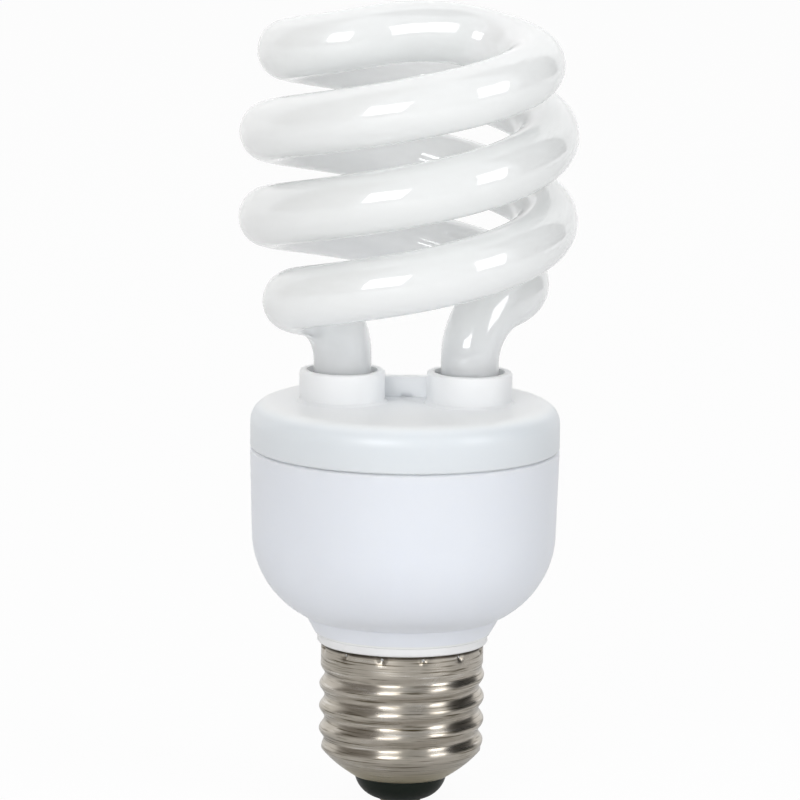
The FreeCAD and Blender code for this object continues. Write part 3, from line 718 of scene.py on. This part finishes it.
# The housing: a deep cup moulded in the same plastic from another tool, so a trace cooler in tone. It holds
# the ballast board on six ribs and carries the screw shell, which is crimped over its spigot.
lip_top = 27.4 * MM
lip_edge = 0.3 * MM
painted_lip_light = (0.93, 0.955, 0.975)
# More painted shade and grime in the housing's crevices than on the cover.
housing_finish = moulded_plastic("housing_plastic", (0.835, 0.86, 0.935), (0.81, 0.84, 0.92), 0.35)
lip_height = coordinate(housing_finish, "Z")
# Painted light: the lip under the neck is painted whiter, standing for the frontal light it catches.
lip_light_mask = ramp_between(housing_finish, lip_height, lip_top + 2 * lip_edge, lip_top + lip_edge)
lay_over(housing_finish, lip_light_mask, colour=painted_lip_light, roughness=0.2)
dress_round("ballast_housing", housing_finish)

# The screw shell: thin nickel-plated sheet with the thread rolled through it, turned in to an eye at its
# foot. Twelve punched dimples below its rim bite into the housing's spigot and hold it there.
thread_crest = 13.15 * MM
thread_root = 12.30 * MM
thread_pitch = 3.629 * MM
thread_foot = 8.6 * MM
thread_length = 14.2 * MM
thread_fade = 8
thread_phase = math.radians(130)
band_radius = 12.95 * MM
shell_top = 26.1 * MM
shell_foot = 4.4 * MM
eye_radius = 7.7 * MM
sheet_thickness = 0.3 * MM
cone_swell = 0.40 * MM
dimple_count = 12
dimple_first = math.radians(-72.8)
dimple_height = 25.35 * MM
dimple_radius = 0.62 * MM
dimple_depth = 0.42 * MM
dimple_reach = 3
shell_sides = 360
shell_row = 0.2 * MM
inner_row_every = 4
rolled_edge_degrees = 60
sheet_wave = 0.02 * MM
sheet_wave_rise = 90
sheet_wave_scale = 1.7


def shell_radius(z, turn):
    """The sheet's outer radius: cone, rolled thread, then the plain band with its dimples."""
    mean = (thread_crest + thread_root) / 2
    if z < thread_foot:
        share = (z - shell_foot) / (thread_foot - shell_foot)
        radius = eye_radius + (mean - eye_radius) * share + cone_swell * math.sin(math.pi * share)
        share = 0
    else:
        share = min(1, (z - thread_foot) / thread_length)
        radius = mean + (band_radius - mean) * max(0, 1 - (1 - share) * thread_fade)
    fade = min(1, share * thread_fade, (1 - share) * thread_fade)
    wave = math.cos(2 * math.pi * (z - thread_foot) / thread_pitch - turn - thread_phase)
    radius += (thread_crest - thread_root) / 2 * max(0, fade) * wave
    step = 2 * math.pi / dimple_count
    off = (turn - dimple_first + step / 2) % step - step / 2
    distance = math.hypot(off * band_radius, z - dimple_height) / dimple_radius
    if distance < dimple_reach:
        radius -= dimple_depth * math.exp(-distance ** 2)
    return radius


def shell_ring(z, inset, sides):
    ring = []
    for j in range(sides):
        turn = 2 * math.pi * j / sides
        radius = shell_radius(z, turn) - inset
        place = Vector((math.cos(turn), math.sin(turn), z * sheet_wave_rise)) * sheet_wave_scale
        radius += sheet_wave * noise.noise(place)
        ring.append((radius * math.cos(turn), radius * math.sin(turn), z))
    return ring


def screw_shell():
    rows = round((shell_top - shell_foot) / shell_row)
    heights = [shell_foot + (shell_top - shell_foot) * i / rows for i in range(rows + 1)]
    outside = [shell_ring(z, 0, shell_sides) for z in heights]
    inner_heights = heights[::inner_row_every] + [heights[-1]]
    inside = [shell_ring(z, sheet_thickness, shell_sides) for z in inner_heights]
    return skin_over("threaded_shell", inside[::-1] + outside, looped=True)


def drawn_lines_group():
    """Fine lines round the axis, as a rolled skin has, with masks of bright scratches and dull stains."""
    group, start, end = new_group(
        "drawn_lines", [("Scale", "value"), ("Stretch", "value")],
        [("Height", "value"), ("Scratches", "value"), ("Stains", "value")])
    nodes = group.nodes
    links = group.links
    stretch = nodes.new("ShaderNodeCombineXYZ")
    stretch.inputs["X"].default_value = 1
    stretch.inputs["Y"].default_value = 1
    longer = add_math(nodes, "MULTIPLY", "ShaderNodeVectorMath")
    lines = nodes.new("ShaderNodeTexNoise")
    lines.inputs["Detail"].default_value = 3
    few = nodes.new("ShaderNodeMapRange")
    few.inputs["From Min"].default_value = 0.60
    few.inputs["From Max"].default_value = 0.72
    stained = nodes.new("ShaderNodeMapRange")
    stained.inputs["From Min"].default_value = 0.46
    stained.inputs["From Max"].default_value = 0.30
    links.new(own_place(nodes), longer.inputs[0])
    links.new(start.outputs["Stretch"], stretch.inputs["Z"])
    links.new(stretch.outputs[0], longer.inputs[1])
    links.new(longer.outputs[0], lines.inputs["Vector"])
    links.new(start.outputs["Scale"], lines.inputs["Scale"])
    links.new(lines.outputs["Fac"], few.inputs["Value"])
    links.new(lines.outputs["Fac"], end.inputs["Height"])
    links.new(few.outputs["Result"], end.inputs["Scratches"])
    links.new(lines.outputs["Fac"], stained.inputs["Value"])
    links.new(stained.outputs["Result"], end.inputs["Stains"])
    return group


drawn_lines = drawn_lines_group()
drawn_share = 0.75
across_the_lines = 0.25  # of a turn
lip_shadow_foot = shell_top - 0.75 * MM
lip_shadow_rise = 0.4 * MM
brass_reach = 3.2 * MM
drawn_relief = 0.60
drawn_depth = 0.02 * MM


def nickel_plate():
    """Warm nickel with bright scratches and dull stains along its drawn lines, a painted shadow under the
    housing's lip, grime and painted shade in the thread's roots, and brass showing by the eye.
    """
    material = new_finish(
        "nickel_plate", (0.575, 0.525, 0.47), (0.44, 0.405, 0.335),
        scale=160, fine_scale=900, roughness=0.28, bump=0.03, metallic=1.0)
    tree = material.node_tree
    skin = tree.nodes["Principled BSDF"]
    skin.inputs["Anisotropic"].default_value = drawn_share
    skin.inputs["Anisotropic Rotation"].default_value = across_the_lines
    round_the_axis = tree.nodes.new("ShaderNodeTangent")
    round_the_axis.direction_type = "RADIAL"
    round_the_axis.axis = "Z"
    tree.links.new(round_the_axis.outputs["Tangent"], skin.inputs["Tangent"])
    lines = add_group(material, drawn_lines, {"Scale": 140, "Stretch": 26})
    lay_over(material, lines.outputs["Scratches"], colour=(0.72, 0.69, 0.64), roughness=0.24)
    lay_over(material, lines.outputs["Stains"], colour=(0.11, 0.09, 0.055), roughness=0.34)
    height = coordinate(material, "Z")
    # Painted shadow: a dark band round the shell's top, under the housing's lip.
    painted_lip_shadow = ramp_between(material, height, lip_shadow_foot, lip_shadow_foot + lip_shadow_rise)
    lay_over(material, painted_lip_shadow, colour=(0.07, 0.06, 0.05), roughness=0.5)
    # Grime and painted shade: darker in the thread's roots, where the sheet is closed in.
    shade_and_dirt = add_group(material, crevice_shade_and_grime, {"Reach": 1.6 * MM, "Blotch Scale": 500, "Amount": 1.1})
    lay_over(material, shade_and_dirt.outputs["Mask"], colour=(0.16, 0.13, 0.09), roughness=0.45)
    brass = ramp_between(material, height, shell_foot + brass_reach, shell_foot)
    lay_over(material, brass, colour=(0.56, 0.50, 0.36))
    fine_relief = skin.inputs["Normal"].links[0].from_socket
    add_relief(material, lines.outputs["Height"], drawn_relief, drawn_depth, over=fine_relief)
    return material


shell = screw_shell()
smooth(shell, rolled_edge_degrees)
dress(shell, nickel_plate())
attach(shell, "root")
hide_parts("screw_shell")

# The base insulator: a black glassy cone pressed in the shell's eye, which keeps the contact off the shell.
# It was fired or moulded in one piece, and its gloss is broken by fine flow marks.
insulator_finish = new_finish(
    "black_insulator", (0.006, 0.010, 0.007), (0.013, 0.018, 0.014),
    scale=120, fine_scale=700, roughness=0.30, bump=0.08)
insulator_finish.node_tree.nodes["Principled BSDF"].inputs["Specular IOR Level"].default_value = 0.16
dress_round("base_insulator", insulator_finish)

# The centre contact: a brass eyelet under a thin nickel wash, riveted through the insulator. A bead of
# solder closes it round the live lead, and painted shade and grime darken it where it meets the insulator.
contact_finish = new_finish(
    "contact_brass", (0.70, 0.63, 0.48), (0.58, 0.50, 0.36),
    scale=400, fine_scale=1500, roughness=0.26, bump=0.05, metallic=1.0)
# Painted shade and grime where the contact meets the insulator.
contact_shade_and_grime = add_group(contact_finish, crevice_shade_and_grime, {
    "Reach": 1.0 * MM, "Blotch Scale": 900, "Amount": 0.9})
lay_over(contact_finish, contact_shade_and_grime.outputs["Mask"], colour=(0.14, 0.11, 0.08), roughness=0.5)
dress_round("centre_contact", contact_finish)
solder_finish = new_finish(
    "soft_solder", (0.56, 0.56, 0.57), (0.42, 0.42, 0.43),
    scale=900, fine_scale=2600, roughness=0.38, bump=0.3, metallic=1.0)
dress_round("contact_solder", solder_finish)

# The ballast board: brown phenolic paper, punched round, that rests on the housing's ribs. Its upper face
# has lacquered copper tracks, and the parts hang from its lower face on their soldered leads.
board_low, board_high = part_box("circuit_board")
track_begins = 0.07
track_full = 0.09
copper_thickness = 0.02 * MM


def phenolic_board():
    material = new_finish(
        "phenolic_board", (0.46, 0.30, 0.13), (0.38, 0.23, 0.09),
        scale=300, fine_scale=2200, roughness=0.5, bump=0.12)
    tree = material.node_tree
    islands = tree.nodes.new("ShaderNodeTexVoronoi")
    islands.feature = "DISTANCE_TO_EDGE"
    islands.inputs["Scale"].default_value = 170
    tree.links.new(own_place(tree.nodes), islands.inputs["Vector"])
    copper = ramp_between(material, islands.outputs["Distance"], track_begins, track_full)
    height = coordinate(material, "Z")
    upper = ramp_between(material, height, board_high[2] - copper_thickness, board_high[2])
    both = add_math(tree.nodes, "MULTIPLY")
    tree.links.new(copper, both.inputs[0])
    tree.links.new(upper, both.inputs[1])
    lay_over(material, both.outputs[0], colour=(0.12, 0.25, 0.10), roughness=0.28)
    return material


dress(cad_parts["circuit_board"], phenolic_board())

# The posts and filament leads: square tinned posts pressed into the board, and the four wires that come
# out of the glass's pinched ends, each wrapped round its post.
tin = (0.62, 0.62, 0.63)
tin_roughness = 0.32
tinned_wire = new_finish(
    "tinned_wire", tin, (0.50, 0.50, 0.51),
    scale=700, fine_scale=3000, roughness=tin_roughness, bump=0.15, metallic=1.0)
for i in range(1, 5):
    dress(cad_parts[f"wire_post_{i}"], tinned_wire)
    dress_round(f"filament_lead_{i}", tinned_wire)

# The parts on leads: each has a moulded, dipped or lacquered body, and tinned wire wherever the surface
# leaves that body. They hang under the board, soldered at its upper face.
stand_off = 0.4 * MM
axial_drop = 1.2 * MM
axial_foot = 1.6 * MM
board_face = board_low[2]


def off_the_body_group():
    """One outside a block round the body and none inside it, so that the leads can be told apart."""
    group, start, end = new_group(
        "off_the_body", [("Centre", "vector"), ("Half Size", "vector")], [("Lead", "value")])
    nodes = group.nodes
    links = group.links
    away = add_math(nodes, "SUBTRACT", "ShaderNodeVectorMath")
    size = add_math(nodes, "ABSOLUTE", "ShaderNodeVectorMath")
    past = add_math(nodes, "SUBTRACT", "ShaderNodeVectorMath")
    split = nodes.new("ShaderNodeSeparateXYZ")
    links.new(own_place(nodes), away.inputs[0])
    links.new(start.outputs["Centre"], away.inputs[1])
    links.new(away.outputs[0], size.inputs[0])
    links.new(size.outputs[0], past.inputs[0])
    links.new(start.outputs["Half Size"], past.inputs[1])
    links.new(past.outputs[0], split.inputs[0])
    worst = add_math(nodes, "MAXIMUM")
    worst_of_all = add_math(nodes, "MAXIMUM")
    outside = add_math(nodes, "GREATER_THAN")
    outside.inputs[1].default_value = 0.0
    links.new(split.outputs["X"], worst.inputs[0])
    links.new(split.outputs["Y"], worst.inputs[1])
    links.new(worst.outputs[0], worst_of_all.inputs[0])
    links.new(split.outputs["Z"], worst_of_all.inputs[1])
    links.new(worst_of_all.outputs[0], outside.inputs[0])
    links.new(outside.outputs[0], end.inputs["Lead"])
    return group


off_the_body = off_the_body_group()
block_slack = 0.03 * MM


def leads_off(material, low, high):
    """Tinned leads on a finish, outside the body between two corners."""
    centre = [(a + b) / 2 for a, b in zip(low, high)]
    half_size = [(b - a) / 2 + block_slack for a, b in zip(low, high)]
    leads = add_group(material, off_the_body, {"Centre": centre, "Half Size": half_size})
    lay_over(material, leads.outputs["Lead"], colour=tin, roughness=tin_roughness, metallic=1.0)
    return material


def hanging_body(node, drop=stand_off):
    """Corners of a body that fills its node's box up to the air under the board."""
    low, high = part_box(node)
    return Vector(low), Vector((high[0], high[1], board_face - drop))


def upright_body(node, radius):
    """Corners of an axial part's body, beside the lead that comes back up."""
    low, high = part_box(node)
    return (Vector((low[0], high[1] - 2 * radius, low[2] + axial_foot)),
            Vector((high[0], high[1], board_face - axial_drop)))


def banded(material, low, high, bands):
    """Painted rings at shares of the body's length, each with its colour."""
    tree = material.node_tree
    share = ramp_between(material, coordinate(material, "Z"), low[2], high[2])
    share.node.interpolation_type = "LINEAR"
    for middle, half_width, colour in bands:
        ring = add_math(tree.nodes, "COMPARE")
        ring.inputs[1].default_value = middle
        ring.inputs[2].default_value = half_width
        tree.links.new(share, ring.inputs[0])
        lay_over(material, ring.outputs[0], colour=colour)


# The bulk capacitor: an aluminium can in a shrunk dark sleeve, which leaves a ring of its foot bare. A
# pale stripe down the sleeve marks the negative lead. It hangs down the neck on its two soldered leads.
stripe_begins = 1.2 * MM
stripe_full = 1.1 * MM
bare_foot = 0.25 * MM


def sleeved_can():
    low, high = hanging_body("bulk_capacitor")
    material = new_finish(
        "shrunk_sleeve", (0.020, 0.028, 0.060), (0.026, 0.034, 0.075),
        scale=300, fine_scale=1500, roughness=0.30, bump=0.08)
    across = coordinate(material, "X")
    stripe = ramp_between(material, across, low[0] + stripe_begins, low[0] + stripe_full)
    lay_over(material, stripe, colour=(0.60, 0.62, 0.62))
    leads_off(material, low + UP * bare_foot, high)
    return material


dress_round("bulk_capacitor", sleeved_can())

# The film capacitors: wound metallised film, dipped in glossy resin that sets a little uneven in
# thickness. Each is held by its two tinned leads, soldered through the board.
def dimmed(colour, share):
    return [c * share for c in colour]


film_colours = {
    "resonant_capacitor": (0.36, 0.07, 0.03),
    "coupling_capacitor": (0.46, 0.20, 0.03),
    "filter_capacitor": (0.36, 0.07, 0.03),
}
for name, colour in film_colours.items():
    resin = new_finish(
        f"{name}_resin", colour, dimmed(colour, 0.8),
        scale=350, fine_scale=1300, roughness=0.16, bump=0.25)
    leads_off(resin, *hanging_body(name))
    dress_round(name, resin)

# The rectifier diodes and the trigger diac: black moulded barrels with a pale ring at one end, and a small
# blue glass bead. Each stands on end, with its lower lead bent back up to the board.
diode_radius = 1.35 * MM
diode_ring = (0.14, 0.07, (0.66, 0.66, 0.66))
diac_radius = 0.95 * MM
for i in range(1, 5):
    name = f"rectifier_diode_{i}"
    low, high = upright_body(name, diode_radius)
    barrel = new_finish(
        f"{name}_barrel", (0.016, 0.016, 0.017), (0.025, 0.025, 0.026),
        scale=800, fine_scale=2500, roughness=0.42, bump=0.2)
    banded(barrel, low, high, [diode_ring])
    dress_round(name, leads_off(barrel, low, high))
bead = new_finish(
    "diac_glass", (0.05, 0.14, 0.38), (0.07, 0.18, 0.44),
    scale=700, fine_scale=2000, roughness=0.08, bump=0.05)
bead_low, bead_high = upright_body("trigger_diac", diac_radius)
dress_round("trigger_diac", leads_off(bead, bead_low, bead_high))

# The transistors: black moulded epoxy with a matt skin, round at the back and flat in front. Each hangs
# from the board on three tinned legs.
transistor_legs = 2.4 * MM
for name in ("transistor_high", "transistor_low"):
    moulding = new_finish(
        f"{name}_moulding", (0.018, 0.018, 0.019), (0.03, 0.03, 0.031),
        scale=600, fine_scale=2600, roughness=0.55, bump=0.3)
    leads_off(moulding, *hanging_body(name, transistor_legs))
    dress_round(name, moulding)

# The resistors: lacquered ceramic rods with painted rings, on end under the board. The fusible one hangs
# in the live lead and has a woven glass sleeve over it, in case it burns.
tan = (0.56, 0.43, 0.26)
brown = (0.16, 0.06, 0.02)
red = (0.45, 0.03, 0.02)
black = (0.02, 0.02, 0.02)
yellow = (0.62, 0.45, 0.04)
gold = (0.50, 0.36, 0.10)
ring_colours = {
    "base_resistor_1": (brown, black, black, gold),
    "base_resistor_2": (brown, black, black, gold),
    "start_resistor": (yellow, red, yellow, gold),
    "fusible_resistor": (brown, black, gold, black),
}
resistor_radius = 1.2 * MM
fusible_radius = 1.5 * MM
first_ring = 0.2
ring_step = 0.18
ring_half_width = 0.05
for name, colours in ring_colours.items():
    low, high = upright_body(name, fusible_radius if name == "fusible_resistor" else resistor_radius)
    lacquer = new_finish(
        f"{name}_lacquer", tan, dimmed(tan, 0.85),
        scale=500, fine_scale=1800, roughness=0.35, bump=0.12)
    rings = [(first_ring + ring_step * i, ring_half_width, colour) for i, colour in enumerate(colours)]
    banded(lacquer, low, high, rings)
    dress_round(name, leads_off(lacquer, low, high))


def woven_sleeve():
    material = new_finish(
        "woven_sleeve", (0.72, 0.71, 0.66), (0.60, 0.59, 0.54),
        scale=400, fine_scale=2000, roughness=0.75, bump=0.2)
    tree = material.node_tree
    weave = tree.nodes.new("ShaderNodeTexVoronoi")
    weave.inputs["Scale"].default_value = 2600
    tree.links.new(own_place(tree.nodes), weave.inputs["Vector"])
    add_relief(material, weave.outputs["Distance"], strength=0.5, distance=0.1 * MM)
    return material


dress_round("fuse_sleeve", woven_sleeve())

# The choke: two E-shaped ferrite halves, ground where they meet, on a black bobbin with a copper winding.
# The bobbin's four pins solder it to the board.
def sintered_ferrite(name):
    return new_finish(
        name, (0.055, 0.055, 0.060), (0.035, 0.035, 0.040),
        scale=500, fine_scale=2400, roughness=0.55, bump=0.35)


ferrite = sintered_ferrite("ferrite")
for name in ("choke_core_front", "choke_core_rear"):
    dress(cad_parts[name], ferrite)
bobbin = new_finish(
    "bobbin_plastic", (0.035, 0.035, 0.036), (0.050, 0.050, 0.050),
    scale=400, fine_scale=2000, roughness=0.45, bump=0.15)
leads_off(bobbin, *hanging_body("choke_bobbin"))
dress(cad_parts["choke_bobbin"], bobbin)


groove_share = 0.08
choke_wire = 0.24 * MM


def wound_turns_group():
    """Round turns of wire side by side: their height, and a mask of the gaps between them."""
    group, start, end = new_group(
        "wound_turns", [("Along", "value"), ("Wire", "value")], [("Height", "value"), ("Gap", "value")])
    nodes = group.nodes
    links = group.links
    turns = add_math(nodes, "DIVIDE")
    whole = add_math(nodes, "PINGPONG")
    whole.inputs[1].default_value = 0.5
    crown = add_math(nodes, "SINE")
    swing = add_math(nodes, "MULTIPLY")
    swing.inputs[1].default_value = math.pi
    gap = add_math(nodes, "LESS_THAN")
    gap.inputs[1].default_value = groove_share
    links.new(start.outputs["Along"], turns.inputs[0])
    links.new(start.outputs["Wire"], turns.inputs[1])
    links.new(turns.outputs[0], whole.inputs[0])
    links.new(whole.outputs[0], swing.inputs[0])
    links.new(swing.outputs[0], crown.inputs[0])
    links.new(whole.outputs[0], gap.inputs[0])
    links.new(crown.outputs[0], end.inputs["Height"])
    links.new(gap.outputs[0], end.inputs["Gap"])
    return group


wound_turns = wound_turns_group()


def copper_winding(name, wire, axis=None, centre=None, radius=None):
    """Enamelled copper, wound along an axis or round a ring about centre."""
    material = new_finish(
        name, (0.62, 0.24, 0.08), (0.50, 0.17, 0.05),
        scale=500, fine_scale=1800, roughness=0.28, bump=0.1, metallic=0.85)
    nodes = material.node_tree.nodes
    links = material.node_tree.links
    turns = add_group(material, wound_turns, {"Wire": wire})
    if axis:
        along = coordinate(material, axis)
    else:
        shift = add_math(nodes, "SUBTRACT", "ShaderNodeVectorMath")
        shift.inputs[1].default_value = centre
        split = nodes.new("ShaderNodeSeparateXYZ")
        angle = add_math(nodes, "ARCTAN2")
        reach = add_math(nodes, "MULTIPLY")
        reach.inputs[1].default_value = radius
        links.new(own_place(nodes), shift.inputs[0])
        links.new(shift.outputs[0], split.inputs[0])
        links.new(split.outputs["Y"], angle.inputs[0])
        links.new(split.outputs["X"], angle.inputs[1])
        links.new(angle.outputs[0], reach.inputs[0])
        along = reach.outputs[0]
    links.new(along, turns.inputs["Along"])
    lay_over(material, turns.outputs["Gap"], colour=(0.12, 0.04, 0.015))
    add_relief(material, turns.outputs["Height"], strength=0.8, distance=wire / 3)
    return material


dress_round("choke_winding", copper_winding("choke_copper", choke_wire, axis="Y"))

# The drive transformer: a small sintered ferrite ring, wound with enamelled copper in a single layer,
# whose ends are soldered to the board.
drive_wire = 0.5 * MM
drive_radius = 3.35 * MM
ring_low, ring_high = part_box("drive_core")
ring_centre = [(a + b) / 2 for a, b in zip(ring_low, ring_high)]
dress_round("drive_core", ferrite)
drive_copper = copper_winding("drive_copper", drive_wire, centre=ring_centre, radius=drive_radius)
dress_round("drive_winding", drive_copper)

# The mains filter: a drum of sintered ferrite with a copper winding round its waist. Two tinned leads
# hold it under the board.
filter_wire = 0.3 * MM
drum = sintered_ferrite("drum_ferrite")
leads_off(drum, *hanging_body("filter_core"))
dress_round("filter_core", drum)
dress_round("filter_winding", copper_winding("filter_copper", filter_wire, axis="Z"))

# The live and neutral leads: stranded wire in a grey skin, from the board down to the contact's eyelet and
# to the inside of the shell.
for name, colour in (("live_lead", (0.42, 0.43, 0.43)), ("neutral_lead", (0.50, 0.50, 0.48))):
    skin_finish = new_finish(
        f"{name}_skin", colour, dimmed(colour, 0.88),
        scale=400, fine_scale=1500, roughness=0.40, bump=0.1)
    dress_round(name, skin_finish)
